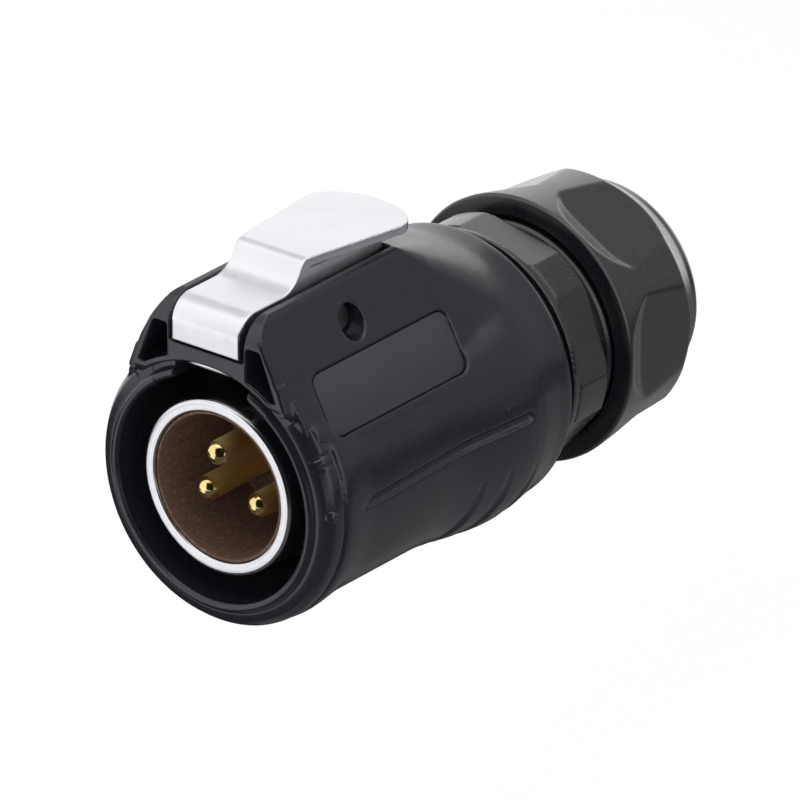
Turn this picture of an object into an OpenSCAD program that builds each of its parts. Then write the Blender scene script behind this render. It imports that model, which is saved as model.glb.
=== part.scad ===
// Circular push-latch power plug for a cable end: three contacts in a metal shell, a moulded body
// with a latch tower on top, and a cable gland with a clamping nut behind.
// Frame: the axis runs along Y, the mating face looks to -Y, the latch is on top (+Z).
// Origin: on the axis, at the front edge of the metal shell.

/* [Mating shell] */
// Outside diameter of the metal shell
shell_od = 18; // [17.4:0.1:18.4]
// Wall of the metal shell
shell_wall = 1.3; // [1.1:0.05:1.4]
// Rounding of the shell's inner front edge
shell_edge = 0.3; // [0.2:0.05:0.5]
// Width of the key groove on top of the shell
key_w = 4.4; // [3:0.1:5]
// Depth of the key groove
key_depth = 0.5; // [0.3:0.05:0.6]
// Distance of the key groove from the front edge
key_setback = 2.2; // [1.8:0.1:3]
// Step of the land behind the shell's mating length
land_step = 0.3; // [0.2:0.05:0.4]
// Thickness of the shell's seating flange
shell_flange_t = 1.4; // [1:0.1:2]
// Width of the shell's seating flange
shell_flange_w = 1; // [0.8:0.1:1.2]

/* [Contacts] */
// Diameter of a contact pin
contact_d = 2.5; // [2:0.05:2.8]
// Radius of the circle that the contacts stand on
contact_circle_r = 3.6; // [3.5:0.05:3.8]
// Setback of the earth pin's tip from the shell's edge
earth_setback = 0.1; // [0:0.1:1]
// Setback of the line and neutral tips from the shell's edge
live_setback = 2.8; // [2:0.1:4]
// Step of the shoulder that holds a pin in the insulator
pin_step = 0.4; // [0.3:0.05:0.5]
// Diameter of the terminal barrel behind a pin
barrel_d = 4.4; // [4.2:0.1:4.6]
// Setback of the shoulder's face from the cup's floor
shoulder_rise = 0.4; // [0.3:0.05:0.6]
// Diameter of the wire hole in the barrel
wire_d = 2.8; // [2:0.1:3]
// Diameter of a terminal screw
screw_d = 2.5; // [2:0.1:2.6]

/* [Insulator] */
// Wall of the insulating cup inside the shell
cup_wall = 0.7; // [0.5:0.05:0.8]
// Setback of the cup's rim from the shell's edge
cup_setback = 0.6; // [0.4:0.1:1]
// Depth of the cup's floor from the shell's edge
cup_depth = 11; // [10:0.5:12]
// Thickness of the insulator's flange
insert_flange_t = 2; // [1.5:0.1:2.5]
// Length of the terminal block behind the flange
terminal_len = 9; // [8.4:0.1:9.4]
// Thickness of the retaining ring
retainer_t = 3; // [2.5:0.1:3.2]

/* [Plug body] */
// Radius of the front collar
collar_r = 14.2; // [14:0.1:14.3]
// Step of the body skin above the collar
skin_step = 0.2; // [0.15:0.05:0.3]
// Length of the front collar
collar_len = 2.2; // [2:0.1:2.6]
// Radius of the waist
waist_r = 13.95; // [13.8:0.05:13.95]
// Radius of the grip swell
grip_r = 15.1; // [14.9:0.05:15.2]
// Radius of the rear rim
rear_r = 14.4; // [14.2:0.05:14.5]
// Length from the shell's edge to the rear rim
body_len = 37.6; // [37:0.1:39]
// Distance that the front lip stands ahead of the shell
lip_out = 1; // [0.6:0.1:1.1]
// Width of the front lip's bead
lip_w = 1; // [0.8:0.05:1.1]
// Step from the bead back to the collar's shoulder
lip_drop = 0.55; // [0.5:0.05:0.6]
// Rounding of the collar's shoulder
shoulder_round = 1.7; // [1:0.1:1.8]
// Gap between the shell and the wall of the mouth
mouth_gap = 2.5; // [2.3:0.05:2.6]
// Depth of the mouth from the shell's edge
mouth_depth = 13; // [12:0.5:13.5]
// Thickness of the bulkhead behind the mouth
bulkhead_t = 4; // [3.5:0.1:4.5]
// Clearance round the shell's flange in the chamber behind the bulkhead
chamber_gap = 0.3; // [0.2:0.05:0.4]
// Rounding of the rear rim
rear_round = 1.6; // [1:0.1:2]
// Depth of the finger grooves under the grip
finger_depth = 0.75; // [0.3:0.05:0.8]
// Width of the long groove on each side
side_groove_w = 1.2; // [1.1:0.1:1.6]
// Depth of the long groove on each side
side_groove_depth = 0.5; // [0.3:0.05:0.55]
// Height of the long grooves above the axis, beside the shell's edge
side_groove_z = 0.1; // [0:0.05:0.4]
// Rise of the long grooves to the rear in degrees
side_groove_tilt = 2; // [1:0.25:2.5]

/* [Latch tower] */
// Height of the tower's top above the axis
tower_top = 19.2; // [19:0.05:19.4]
// Lean of the tower's side panels from upright
panel_lean = 28.5; // [27.5:0.5:29]
// Distance of the side panels from the axis
panel_dist = 14; // [13.95:0.05:14.05]
// Distance that the tower stands ahead of the shell
tower_front = 1.5; // [1.3:0.1:1.6]
// Length of the tower's top behind the shell's edge
tower_len = 21; // [20.9:0.1:22]
// Rounding of the tower's top edges
tower_round = 0.3; // [0.3:0.1:0.8]
// Rounding of the tower's front top corners
tower_nose_r = 3.2; // [2.5:0.1:3.5]
// Distance of the tail slope's end from the rear rim
tail_back = 3.6; // [3:0.1:5]
// Height of the latch slot's floor above the axis
slot_floor = 13.4; // [13.2:0.05:13.6]
// Radius of the bridge bar's underside
bar_in_r = 13.3; // [13:0.05:13.4]
// Height of the bridge bar's top above the axis
bar_high = 14.7; // [14.3:0.05:14.8]
// Depth of the bridge bar along the axis
bar_depth = 1.5; // [1.3:0.1:1.8]
// Wall of the tower beside the cored pockets
pocket_wall = 0.5; // [0.45:0.05:0.6]
// Depth of the cored pockets
pocket_depth = 2.8; // [2:0.1:2.9]
// Distance from the shell's edge to the end of the flat side panels
panel_end = 26; // [25.5:0.1:26.5]
// Distance from the shell's edge to the label recess
label_front = 3.2; // [3:0.1:3.6]
// Length of the label recess on each panel
label_len = 20.4; // [18:0.1:20.6]
// Height of the label recess along the panel
label_h = 6.6; // [5.6:0.1:6.8]
// Depth of the label recess
label_depth = 0.3; // [0.2:0.05:0.4]

/* [Latch] */
// Width of the latch arm
latch_w = 8.2; // [7.8:0.1:8.4]
// Side clearance of the latch arm in its slot
latch_gap = 0.4; // [0.3:0.05:0.6]
// Distance of the latch pivot behind the shell's edge
pivot_y = 11.3; // [10.8:0.05:11.5]
// Height of the latch pivot above the axis
pivot_z = 15.45; // [15.3:0.05:15.6]
// Diameter of the latch pin
latch_pin_d = 3.2; // [2.8:0.1:3.4]
// Setback of the pin's ends from the tower panels
latch_pin_setback = 1.5; // [1:0.1:2]
// Height of the latch's front step above the axis
step_z = 19.3; // [19.2:0.05:19.4]
// Height of the thumb plate at its front bend
plate_z = 22.1; // [22:0.05:22.3]
// Fall of the thumb plate for each millimetre of length
plate_fall = 0.04; // [0.02:0.002:0.044]
// Thickness of the thumb plate
plate_t = 0.95; // [0.8:0.05:1.05]
// End of the thumb plate behind the shell's edge
plate_end = 24.9; // [24.4:0.1:25.2]
// Width of the thumb plate at its front bend
plate_front_w = 8.4; // [8.4:0.1:9]
// Width of the thumb plate before its round end
plate_w = 11.7; // [11:0.1:12]
// Height of the hook's tip above the axis
hook_z = 11.2; // [11:0.05:11.3]
// Outside diameter of the latch spring
spring_od = 4.4; // [3.8:0.1:4.8]
// Wire diameter of the latch spring
spring_wire = 0.5; // [0.4:0.05:0.6]
// Turns of the latch spring
spring_turns = 6; // [5:1:8]

/* [Cable gland] */
// Width of the gland's hexagon across its flats
hex_af = 23.84; // [23.4:0.02:24.2]
// Diameter that the hexagon's corners are turned to
hex_corner_d = 25.6; // [25:0.1:26]
// Length of the hexagon
hex_len = 4.95; // [4.5:0.05:5.2]
// Turn of the hexagon about the axis
hex_turn = 49.5; // [45:0.5:55]
// Thickness of the gland's seal ring
seal_ring_t = 1.3; // [1:0.1:1.6]
// Width of the gland's seal ring
seal_ring_w = 1.8; // [1.6:0.1:2.2]
// Thickness of the gland's flange
gland_flange_t = 0.7; // [0.5:0.05:1]
// Lap of the gland's spigot over the terminal block
spigot_lap = 0.6; // [0.3:0.1:1]
// Length of the gland's threaded tail
tail_len = 9.5; // [9:0.1:10]
// Outside diameter of the threaded tail
tail_d = 22.4; // [22.2:0.1:22.6]
// Bore of the gland body
gland_bore_d = 15.6; // [15.2:0.1:16]
// Gap between the hexagon and the nut
nut_gap = 1.95; // [1.8:0.05:2.2]

/* [Gland nut] */
// Radius of the nut
nut_r = 13.85; // [13.6:0.05:14]
// Length of the nut
nut_len = 15.3; // [14.8:0.1:15.6]
// Radius of the nut's ridges at their rear end
nut_ridge_r = 13; // [12.85:0.05:13.2]
// Distance of the nut's flats from the axis
nut_flat = 12.3; // [12.2:0.05:12.45]
// Length of the ramp from the front edge down to a flat
nut_ramp = 2.9; // [2.5:0.1:3.5]
// Length of the rear cone that trims the ridges
nut_cone_len = 4.9; // [4.6:0.1:5.2]
// Fall of the rear cone for each millimetre of length
nut_cone_fall = 0.65; // [0.55:0.05:0.7]
// Rounding of the nut's rear edge
nut_round = 1.6; // [1.2:0.1:2]
// Diameter of the nut's cable opening
nut_open_d = 13; // [12:0.1:14]
// Diameter of the hole in the cable seal
cable_d = 10; // [8:0.1:10.5]
// Fingers of the clamp cage
cage_fingers = 8; // [6:1:10]
// Slot between two fingers
finger_slot = 1; // [0.8:0.1:1.4]

/* [Fits] */
// Clearance of a seated part round its wall
seat_gap = 0.05; // [0.03:0.01:0.08]
// Radial clearance of the latch pin in the latch
run_gap = 0.05; // [0.03:0.01:0.08]
// Radial clearance of the nut and the clamp cage
screw_gap = 0.3; // [0.25:0.05:0.4]

/* [Hidden] */
$fn = 96;

// Room beyond a face, so that a cut leaves no skin
past = 1;
plastic = "#38383d";
dark_plastic = "#2b2b2f";
nickel = "#d9dadd";
insulator_brown = "#3a2f2a";
gold = "#d8b25a";
rubber = "#1d1d1f";

shell_r = shell_od / 2;
shell_in_r = shell_r - shell_wall;
land_r = shell_r + land_step;
flange_r = land_r + shell_flange_w;
chamber_r = flange_r + chamber_gap;
mouth_r = shell_r + mouth_gap;
bulkhead_y = mouth_depth + bulkhead_t;
flange_seal_t = 0.8;
shell_flange_y = bulkhead_y + flange_seal_t;
insert_flange_y = shell_flange_y + shell_flange_t;
retainer_y = insert_flange_y + insert_flange_t;
terminal_end = retainer_y + terminal_len;

insert_r = shell_in_r - seat_gap;
cup_in_r = insert_r - cup_wall;
terminal_block_r = 7.4;
screw_setback = 2.9;
screw_y = retainer_y + retainer_t + screw_setback;
barrel_y = insert_flange_y;
pin_shoulder_y = cup_depth - shoulder_rise;
pin_shoulder_r = contact_d / 2 + pin_step;
screw_tip_gap = 0.1;
screw_tip_r = contact_circle_r + wire_d / 2 + screw_tip_gap;
contact_angles = [90, 330, 210];

gasket_t = 1.4;
gasket_y = mouth_depth - gasket_t;

tower_in_w = latch_w / 2 + latch_gap;
slot_end = tower_len - 0.1;
waist_front = 7.5;
waist_run = 18.6;
swell_run = 7.1;
waist_back = body_len - waist_run;
swell_y = body_len - swell_run;
finger_back = [14.1, 10.4, 6.4];
tail_end = body_len - tail_back;
tail_top = rear_r + 0.05;
panel_cos = cos(panel_lean);
panel_sin = sin(panel_lean);
tower_half_top = panel_x(tower_top);
tangent_z = panel_dist * panel_sin;
front_low = 9.6;
front_shave = 0.7;
shave_z = tower_top - 4.7;
label_low = tangent_z + 0.6;
label_top = label_low + label_h * panel_cos;
pin_half = panel_x(pivot_z) - latch_pin_setback;

bar_front = -tower_front;
bar_back = bar_front + bar_depth;
hook_front = bar_back + 0.7;
hook_len = 2.8;
hook_lead = 1.4;
hook_slope = 0.5;
hook_back = hook_front + hook_len;
foot_front = -1.6;
foot_low = bar_high + 0.3;
nose_r = 2.5;
rise_start = 4.9;
rise_r = 3;
rise_angle = 58;
bend_r = 1.3;
rise_end = [rise_start + rise_r * sin(rise_angle), step_z + rise_r * (1 - cos(rise_angle))];
bend_low = plate_z - bend_r * (1 - cos(rise_angle));
plate_front = rise_end[0] + (bend_low - rise_end[1]) / tan(rise_angle) + bend_r * sin(rise_angle);
skirt_end = slot_end - 0.75;
skirt_low = 16.2;
boss_r = latch_pin_d / 2 + 1;
boss_gap = 0.35;
arm_low = slot_floor + 0.6;
channel_front = pivot_y + boss_r + 0.3;
skirt_t = 1.2;
spring_y = 17.4;
spring_seat = 0.15;

seal_y = body_len + seat_gap;
gland_flange_y = seal_y + seal_ring_t + seat_gap;
hex_y = gland_flange_y + gland_flange_t;
tail_y = hex_y + hex_len;
tail_stop = tail_y + tail_len;
gland_bore_r = gland_bore_d / 2;
tail_r = tail_d / 2;
spigot_r = chamber_r - seat_gap;
spigot_y = terminal_end - spigot_lap;
cage_seat_y = tail_y + 1.3;
cage_hole_r = tail_r - 1.3;

nut_y = tail_y + nut_gap;
nut_back = nut_y + nut_len;
nut_hole_r = tail_r + screw_gap;
nut_edge = 0.3;
nut_thread_end = tail_stop + 1.2;
nut_floor_t = 2.4;
nut_cone_end = nut_back - nut_floor_t;
nut_taper_y = nut_back - nut_cone_len;
nut_rim_r = nut_ridge_r - nut_cone_fall * (nut_cone_len - nut_round);
cage_cone_gap = 0.3;
cage_r = cage_hole_r - screw_gap;
cage_base_t = 2.6;
cage_y = cage_seat_y + 2;
cage_lead = 1.6;
cage_tip_r = nut_open_d / 2 + cage_lead;
cage_end = nut_cone_end - 0.9;
seal_r = 7.4;
bush_y = cage_y + 0.4;
bush_end = cage_end - 0.6;

// Half width of the tower at height z
function panel_x(z) = (panel_dist - z * panel_sin) / panel_cos;

// Points of an arc round (cx, cy), from angle a0 to a1 in n steps
function arc(cx, cy, r, a0, a1, n) =
    [for (i = [0 : n]) let (a = a0 + (a1 - a0) * i / n) [cx + r * cos(a), cy + r * sin(a)]];

// Smooth step from 0 to 1
function ease(t) = t * t * (3 - 2 * t);

// Points that ease from a to b in n steps, without the first
function ease_points(a, b, n) =
    [for (i = [1 : n]) let (t = i / n) [a[0] + (b[0] - a[0]) * ease(t), a[1] + (b[1] - a[1]) * t]];

// Swell of the grip above the waist at y
function swell(y) = (grip_r - waist_r) * ease(min(1, (y - waist_back) / (swell_y - waist_back)));

// Turns a profile of [radius, y] about the Y axis
module turned() {
    rotate([-90, 0, 0]) rotate_extrude() children();
}

// Extrudes a section of [x, z] along Y
module along_y(y0, y1) {
    translate([0, y1, 0]) rotate([90, 0, 0]) linear_extrude(y1 - y0) children();
}

// Extrudes a side view of [y, z] along X
module along_x(x0, x1) {
    translate([x0, 0, 0]) rotate([90, 0, 90]) linear_extrude(x1 - x0) children();
}

// Round rod along Y
module rod(r, y0, y1) {
    translate([0, y0, 0]) rotate([-90, 0, 0]) cylinder(h = y1 - y0, r = r);
}

// Round tube along Y
module tube(r_out, r_in, y0, y1) {
    difference() {
        rod(r_out, y0, y1);
        rod(r_in, y0 - past, y1 + past);
    }
}

// Shape on both sides of the YZ plane
module both_sides() {
    children();
    mirror([1, 0, 0]) children();
}

// Outer outline of the body without its tower
module body_outline() {
    skin_r = collar_r + skin_step;
    lip_r = mouth_r + lip_w;
    lip_round = lip_w * 0.45;
    shoulder_y = lip_drop - lip_out;
    rim_start = 15;
    polygon(concat(
        [[0, 0], [mouth_r - past, 0], [mouth_r - past, -lip_out + lip_round]],
        arc(mouth_r + lip_round, -lip_out + lip_round, lip_round, 180, 270, 4),
        arc(lip_r - lip_round, -lip_out + lip_round, lip_round, -90, 0, 4),
        [[lip_r, shoulder_y]],
        arc(skin_r - shoulder_round, shoulder_y + shoulder_round, shoulder_round, -90, 0, 5),
        [[skin_r, collar_len]],
        ease_points([skin_r, collar_len], [waist_r, waist_front], 7),
        [[waist_r, waist_back]],
        ease_points([waist_r, waist_back], [grip_r, swell_y], 9),
        ease_points([grip_r, swell_y], [rear_r, body_len - rear_round], 4),
        arc(rear_r - rear_round, body_len - rear_round, rear_round, rim_start, 90, 6),
        [[0, body_len]]));
}

// Section of the tower above the body
module tower_section(low) {
    corner = tower_half_top - tower_round * tan(45 - panel_lean / 2);
    half = concat([[0, low], [panel_x(low), low], [panel_x(tower_top - tower_round), tower_top - tower_round]],
        arc(corner - tower_round * 0.35, tower_top - tower_round, tower_round, panel_lean, 90, 5),
        [[0, tower_top]]);
    polygon(half);
    mirror([1, 0]) polygon(half);
}

// Section of the tower's front, whose sides stand steeper low down
module front_section() {
    low_x = panel_x(front_low) - front_shave;
    high_x = panel_x(shave_z);
    intersection() {
        tower_section(front_low);
        polygon([[-low_x, front_low], [low_x, front_low], [high_x, shave_z], [high_x, tower_top],
            [-high_x, tower_top], [-high_x, shave_z]]);
    }
}

// Top of the round body where the tower's tail ends
module tail_section() {
    intersection() {
        circle(r = tail_top, $fn = 64);
        translate([-tail_top, tangent_z]) square([2 * tail_top, tail_top]);
    }
}

// Section of the side panels behind the tower's top
module panel_section() {
    high = label_top + 0.3;
    polygon([[panel_x(tangent_z), tangent_z], [panel_x(high), high],
        [-panel_x(high), high], [-panel_x(tangent_z), tangent_z]]);
}

// Slope of the tower down to the round rear of the body
module tower_tail() {
    slice = 0.2;
    hull() {
        along_y(tower_len - slice, tower_len) tower_section(tangent_z);
        along_y(panel_end - slice, panel_end) panel_section();
        along_y(tail_end - slice, tail_end) tail_section();
    }
}

// Side outline of the collar: it runs back, then forward as it climbs to the tower
module collar_outline() {
    bend_z = 2.5;
    climb_z = 6;
    climb_top = 8.7;
    climb_y = collar_len + 0.9;
    polygon(concat(
        [[-past - tower_front, -collar_r - past], [collar_len, -collar_r - past], [collar_len, bend_z]],
        ease_points([collar_len, bend_z], [climb_y, climb_z], 5),
        ease_points([climb_y, climb_z], [0, climb_top], 8),
        [[-past - tower_front, climb_top]]));
}

// Space between the mouth and the cored tower walls
module pocket_section() {
    inner_x = tower_in_w + pocket_wall * 0.75;
    wall_x = pocket_wall / panel_cos;
    low_z = tower_top - 7.6;
    top_z = tower_top - 2.8;
    difference() {
        polygon([[inner_x, low_z], [panel_x(low_z) - wall_x - front_shave, low_z],
            [panel_x(top_z) - wall_x, top_z], [inner_x, top_z]]);
        circle(r = collar_r - 0.3);
    }
}

// Rounded plate on the side panel, sunk to the label's depth
module label_recess() {
    corner_r = 1.3;
    rise = (label_low - tangent_z) / panel_cos;
    translate([panel_dist * panel_cos, 0, tangent_z]) rotate([0, -panel_lean, 0])
        translate([-label_depth, 0, rise]) rotate([90, 0, 90]) linear_extrude(label_depth + past) {
            translate([label_front + corner_r, 0]) square([label_len - 2 * corner_r, label_h]);
            translate([label_front, corner_r]) square([label_len, label_h - 2 * corner_r]);
            for (u = [corner_r, label_len - corner_r], v = [corner_r, label_h - corner_r])
                translate([label_front + u, v]) circle(r = corner_r);
        }
}

// Round channel along the side of the body: it fades in at the front and climbs with the grip
module side_groove() {
    channel_r = side_groove_w / 2;
    lift = channel_r - side_groove_depth;
    joint_lap = 0.1;
    climb_y = waist_back + 1.5;
    rear_y = body_len - 8;
    line = [[5, waist_r + channel_r + 0.1], [7.4, waist_r + lift], [climb_y, waist_r + lift],
        [rear_y, waist_r + swell(rear_y) + lift]];
    translate([0, 0, side_groove_z]) rotate([side_groove_tilt, 0, 0]) for (i = [0 : 2])
        let (run = line[i + 1] - line[i])
        translate([line[i][1], line[i][0], 0]) rotate([0, 0, -atan2(run[1], run[0])])
        rod(channel_r, -joint_lap, norm(run) + joint_lap);
}

// Finger grooves that fade out up the sides of the grip
module finger_grooves() {
    groove_r = 0.9;
    lift = 1;
    for (i = [0 : 2])
        translate([0, body_len - finger_back[i], lift]) intersection() {
            turned() translate([waist_r + swell(body_len - finger_back[i]) + lift - finger_depth + groove_r, 0])
                circle(r = groove_r);
            translate([-2 * grip_r, -groove_r, -2 * grip_r - lift])
                cube([4 * grip_r, 2 * groove_r, 2 * grip_r]);
        }
}

// Moulded body with its latch tower
module plug_body() {
    color(plastic) difference() {
        union() {
            turned() body_outline();
            intersection() {
                along_y(bar_front, 0) difference() {
                    front_section();
                    circle(r = bar_in_r);
                }
                along_x(-grip_r, grip_r) polygon([[bar_front - past, front_low - bar_front + past],
                    [past, front_low - past], [past, tower_top + past], [bar_front - past, tower_top + past]]);
            }
            along_y(-0.2, tower_len) tower_section(tangent_z);
            tower_tail();
        }
        // Rounded front corners of the tower
        along_x(-grip_r, grip_r) difference() {
            translate([bar_front - past, tower_top - tower_nose_r])
                square([tower_nose_r + past, tower_nose_r + past]);
            translate([bar_front + tower_nose_r, tower_top - tower_nose_r]) circle(r = tower_nose_r);
        }
        // Mouth, bulkhead hole and chamber
        rod(mouth_r, -tower_front - past, mouth_depth);
        rod(land_r + seat_gap, mouth_depth - past, bulkhead_y + past);
        rod(chamber_r, bulkhead_y, body_len + past);
        // Latch slot over the bridge bar, and the hook's way down into the mouth
        along_x(-tower_in_w, tower_in_w) polygon([[bar_front - past, bar_high], [bar_back, bar_high],
            [bar_back, 0], [hook_back + 0.9, 0], [hook_back + 0.9, slot_floor], [slot_end, slot_floor],
            [slot_end, tower_top + past], [bar_front - past, tower_top + past]]);
        translate([-tower_in_w, pivot_y, pivot_z]) rotate([0, 90, 0])
            cylinder(h = 2 * tower_in_w, r = boss_r + boss_gap);
        // Notch in the mouth's rim under the bridge bar
        along_y(bar_front - past, bar_back + past) intersection() {
            circle(r = bar_in_r);
            translate([-tower_in_w, 0]) square([2 * tower_in_w, bar_in_r]);
        }
        both_sides() along_y(bar_front - past, pocket_depth) pocket_section();
        both_sides() label_recess();
        both_sides() side_groove();
        finger_grooves();
        intersection() {
            tube(grip_r + past, collar_r, -tower_front - past, collar_len);
            along_x(-grip_r - past, grip_r + past) collar_outline();
        }
        translate([-grip_r, pivot_y, pivot_z]) rotate([0, 90, 0])
            cylinder(h = 2 * grip_r, r = latch_pin_d / 2 + seat_gap);
    }
}

// Metal shell round the contacts
module shell_sleeve() {
    color(nickel) difference() {
        turned() polygon(concat(
            [[shell_in_r, shell_edge]],
            arc(shell_in_r + shell_edge, shell_edge, shell_edge, 180, 270, 4),
            [[shell_r, 0], [shell_r, gasket_y], [land_r, gasket_y], [land_r, shell_flange_y],
                [flange_r, shell_flange_y], [flange_r, insert_flange_y], [shell_in_r, insert_flange_y]]));
        translate([-key_w / 2, key_setback, shell_r - key_depth])
            cube([key_w, gasket_y - key_setback - past, past + key_depth]);
    }
}

// Place on the contact circle
module at_contact(i) {
    angle = contact_angles[i];
    translate([contact_circle_r * cos(angle), 0, contact_circle_r * sin(angle)]) children();
}

// Radial screw hole or screw shank at a contact
module radial_rod(i, r, r0, r1) {
    translate([0, screw_y, 0]) rotate([0, 90 - contact_angles[i], 0]) translate([0, 0, r0])
        cylinder(h = r1 - r0, r = r);
}

// Insulating cup, flange and terminal block
module insulator_insert() {
    color(insulator_brown) difference() {
        turned() polygon([[0, cup_depth], [cup_in_r, cup_depth], [cup_in_r, cup_setback],
            [insert_r, cup_setback], [insert_r, insert_flange_y], [flange_r, insert_flange_y],
            [flange_r, retainer_y], [terminal_block_r, retainer_y], [terminal_block_r, terminal_end],
            [0, terminal_end]]);
        for (i = [0 : 2]) {
            at_contact(i) rod(pin_shoulder_r + seat_gap, cup_depth - past, barrel_y);
            at_contact(i) rod(barrel_d / 2 + seat_gap, barrel_y, terminal_end + past);
            radial_rod(i, screw_d / 2 + seat_gap, contact_circle_r, terminal_block_r + past);
        }
    }
}

// Contact pin with a domed tip and a terminal barrel
module contact_pin(i, setback) {
    contact_r = contact_d / 2;
    tip_r = contact_r * 0.8;
    bore_depth = 8;
    color(gold) difference() {
        at_contact(i) turned() polygon(concat(
            arc(contact_r - tip_r, setback + tip_r, tip_r, -90, 0, 6),
            [[contact_r, pin_shoulder_y], [pin_shoulder_r, pin_shoulder_y],
                [pin_shoulder_r, barrel_y + seat_gap], [barrel_d / 2, barrel_y + seat_gap],
                [barrel_d / 2, terminal_end], [0, terminal_end], [0, setback]]));
        at_contact(i) rod(wire_d / 2, terminal_end - bore_depth, terminal_end + past);
        radial_rod(i, screw_d / 2 + seat_gap, contact_circle_r, terminal_block_r + past);
    }
}

// Terminal screw with a driver slot
module terminal_screw(i) {
    slot_w = 0.5;
    slot_depth = 0.7;
    head_r = terminal_block_r - 0.2;
    color(nickel) difference() {
        radial_rod(i, screw_d / 2, screw_tip_r, head_r);
        translate([0, screw_y, 0]) rotate([0, 90 - contact_angles[i], 0])
            translate([-screw_d, -slot_w / 2, head_r - slot_depth])
            cube([2 * screw_d, slot_w, slot_depth + past]);
    }
}

// Ring that holds the insulator and the shell against the bulkhead
module insulator_retainer() {
    spanner_w = 2;
    spanner_depth = 1.4;
    color(dark_plastic) difference() {
        tube(chamber_r - seat_gap, terminal_block_r + seat_gap, retainer_y, retainer_y + retainer_t);
        translate([-chamber_r, retainer_y + retainer_t - spanner_depth, -spanner_w / 2])
            cube([2 * chamber_r, spanner_depth + past, spanner_w]);
    }
}

// Face seal at the bottom of the mouth
module mating_gasket() {
    color(rubber) tube(mouth_r - seat_gap, land_r + seat_gap, gasket_y, mouth_depth);
}

// Seal between the bulkhead and the shell's flange
module flange_seal() {
    color(rubber) tube(flange_r, land_r + seat_gap, bulkhead_y, shell_flange_y);
}

// Top line of the thumb plate
function plate_top(y) = plate_z - plate_fall * (y - plate_front);

// Side outline of the latch arm, from the foot over the nose and up to the thumb plate
module latch_side() {
    polygon(concat(
        [[foot_front, foot_low]],
        arc(foot_front + nose_r, step_z - nose_r, nose_r, 180, 90, 10),
        arc(rise_start, step_z + rise_r, rise_r, -90, -90 + rise_angle, 8),
        arc(plate_front, plate_z - bend_r, bend_r, 90 + rise_angle, 90, 8),
        [[skirt_end, plate_top(skirt_end)], [skirt_end, skirt_low + 1],
            [channel_front + 2, skirt_low], [pivot_y, pivot_z], [pivot_y - boss_r, arm_low],
            [hook_back, arm_low], [hook_back, hook_z], [hook_back - hook_lead, hook_z],
            [hook_front, hook_z + hook_slope],
            [hook_front, foot_low]]));
}

// Plan of the thumb plate: it widens to the rear and ends in a round tongue
module plate_plan() {
    tongue_len = 3.9;
    wide_y = plate_end - tongue_len;
    polygon(concat(
        [[-plate_front_w / 2, plate_front], [plate_front_w / 2, plate_front]],
        [for (p = arc(0, 0, 1, 0, 180, 16)) [p[0] * plate_w / 2, wide_y + p[1] * tongue_len]]));
}

// Latch lever: foot, hook, pivot boss and thumb plate cast in one piece
module latch_lever() {
    color(nickel) difference() {
        union() {
            along_x(-latch_w / 2, latch_w / 2) latch_side();
            intersection() {
                translate([0, 0, skirt_low]) linear_extrude(plate_z) plate_plan();
                along_x(-plate_w, plate_w) polygon([[plate_front, plate_top(plate_front)],
                    [plate_end + past, plate_top(plate_end + past)],
                    [plate_end + past, plate_top(plate_end + past) - plate_t],
                    [plate_front, plate_top(plate_front) - plate_t]]);
            }
            translate([-latch_w / 2, pivot_y, pivot_z]) rotate([0, 90, 0]) cylinder(h = latch_w, r = boss_r);
        }
        translate([-latch_w / 2 - past, pivot_y, pivot_z]) rotate([0, 90, 0])
            cylinder(h = latch_w + 2 * past, r = latch_pin_d / 2 + run_gap);
        // Hollow underside between the skirts
        along_x(-latch_w / 2 + skirt_t, latch_w / 2 - skirt_t) polygon([
            [channel_front, skirt_low - past], [skirt_end + past, skirt_low - past],
            [skirt_end + past, plate_top(skirt_end + past) - plate_t],
            [channel_front, plate_top(channel_front) - plate_t]]);
    }
}

// Pin that the latch turns on
module latch_pin() {
    chamfer = 0.3;
    pin_r = latch_pin_d / 2;
    color(nickel) translate([0, pivot_y, pivot_z]) rotate([0, 90, 0]) rotate_extrude()
        polygon([[0, -pin_half], [pin_r - chamfer, -pin_half], [pin_r, -pin_half + chamfer],
            [pin_r, pin_half - chamfer], [pin_r - chamfer, pin_half], [0, pin_half]]);
}

// Coil spring under the thumb plate
module latch_spring() {
    steps = 18;
    sides = 8;
    wire_r = spring_wire / 2;
    coil_r = spring_od / 2 - wire_r;
    low = slot_floor + spring_seat + wire_r;
    high = plate_top(spring_y) - plate_t - spring_seat - wire_r;
    count = spring_turns * steps;
    // Height of the wire: the two end turns lie almost flat
    function rise(i) = low + (high - low) * (ease(i / count) * 0.5 + i / count * 0.5);
    points = [for (i = [0 : count]) let (a = i * 360 / steps) for (j = [0 : sides - 1])
        let (b = j * 360 / sides, r = coil_r + wire_r * cos(b))
        [r * cos(a), spring_y + r * sin(a), rise(i) + wire_r * sin(b)]];
    walls = [for (i = [0 : count - 1], j = [0 : sides - 1]) let (k = (j + 1) % sides)
        [i * sides + j, i * sides + k, (i + 1) * sides + k, (i + 1) * sides + j]];
    first = [for (j = [0 : sides - 1]) sides - 1 - j];
    last = [for (j = [0 : sides - 1]) count * sides + j];
    color(nickel) polyhedron(points, concat(walls, [first], [last]));
}

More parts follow.
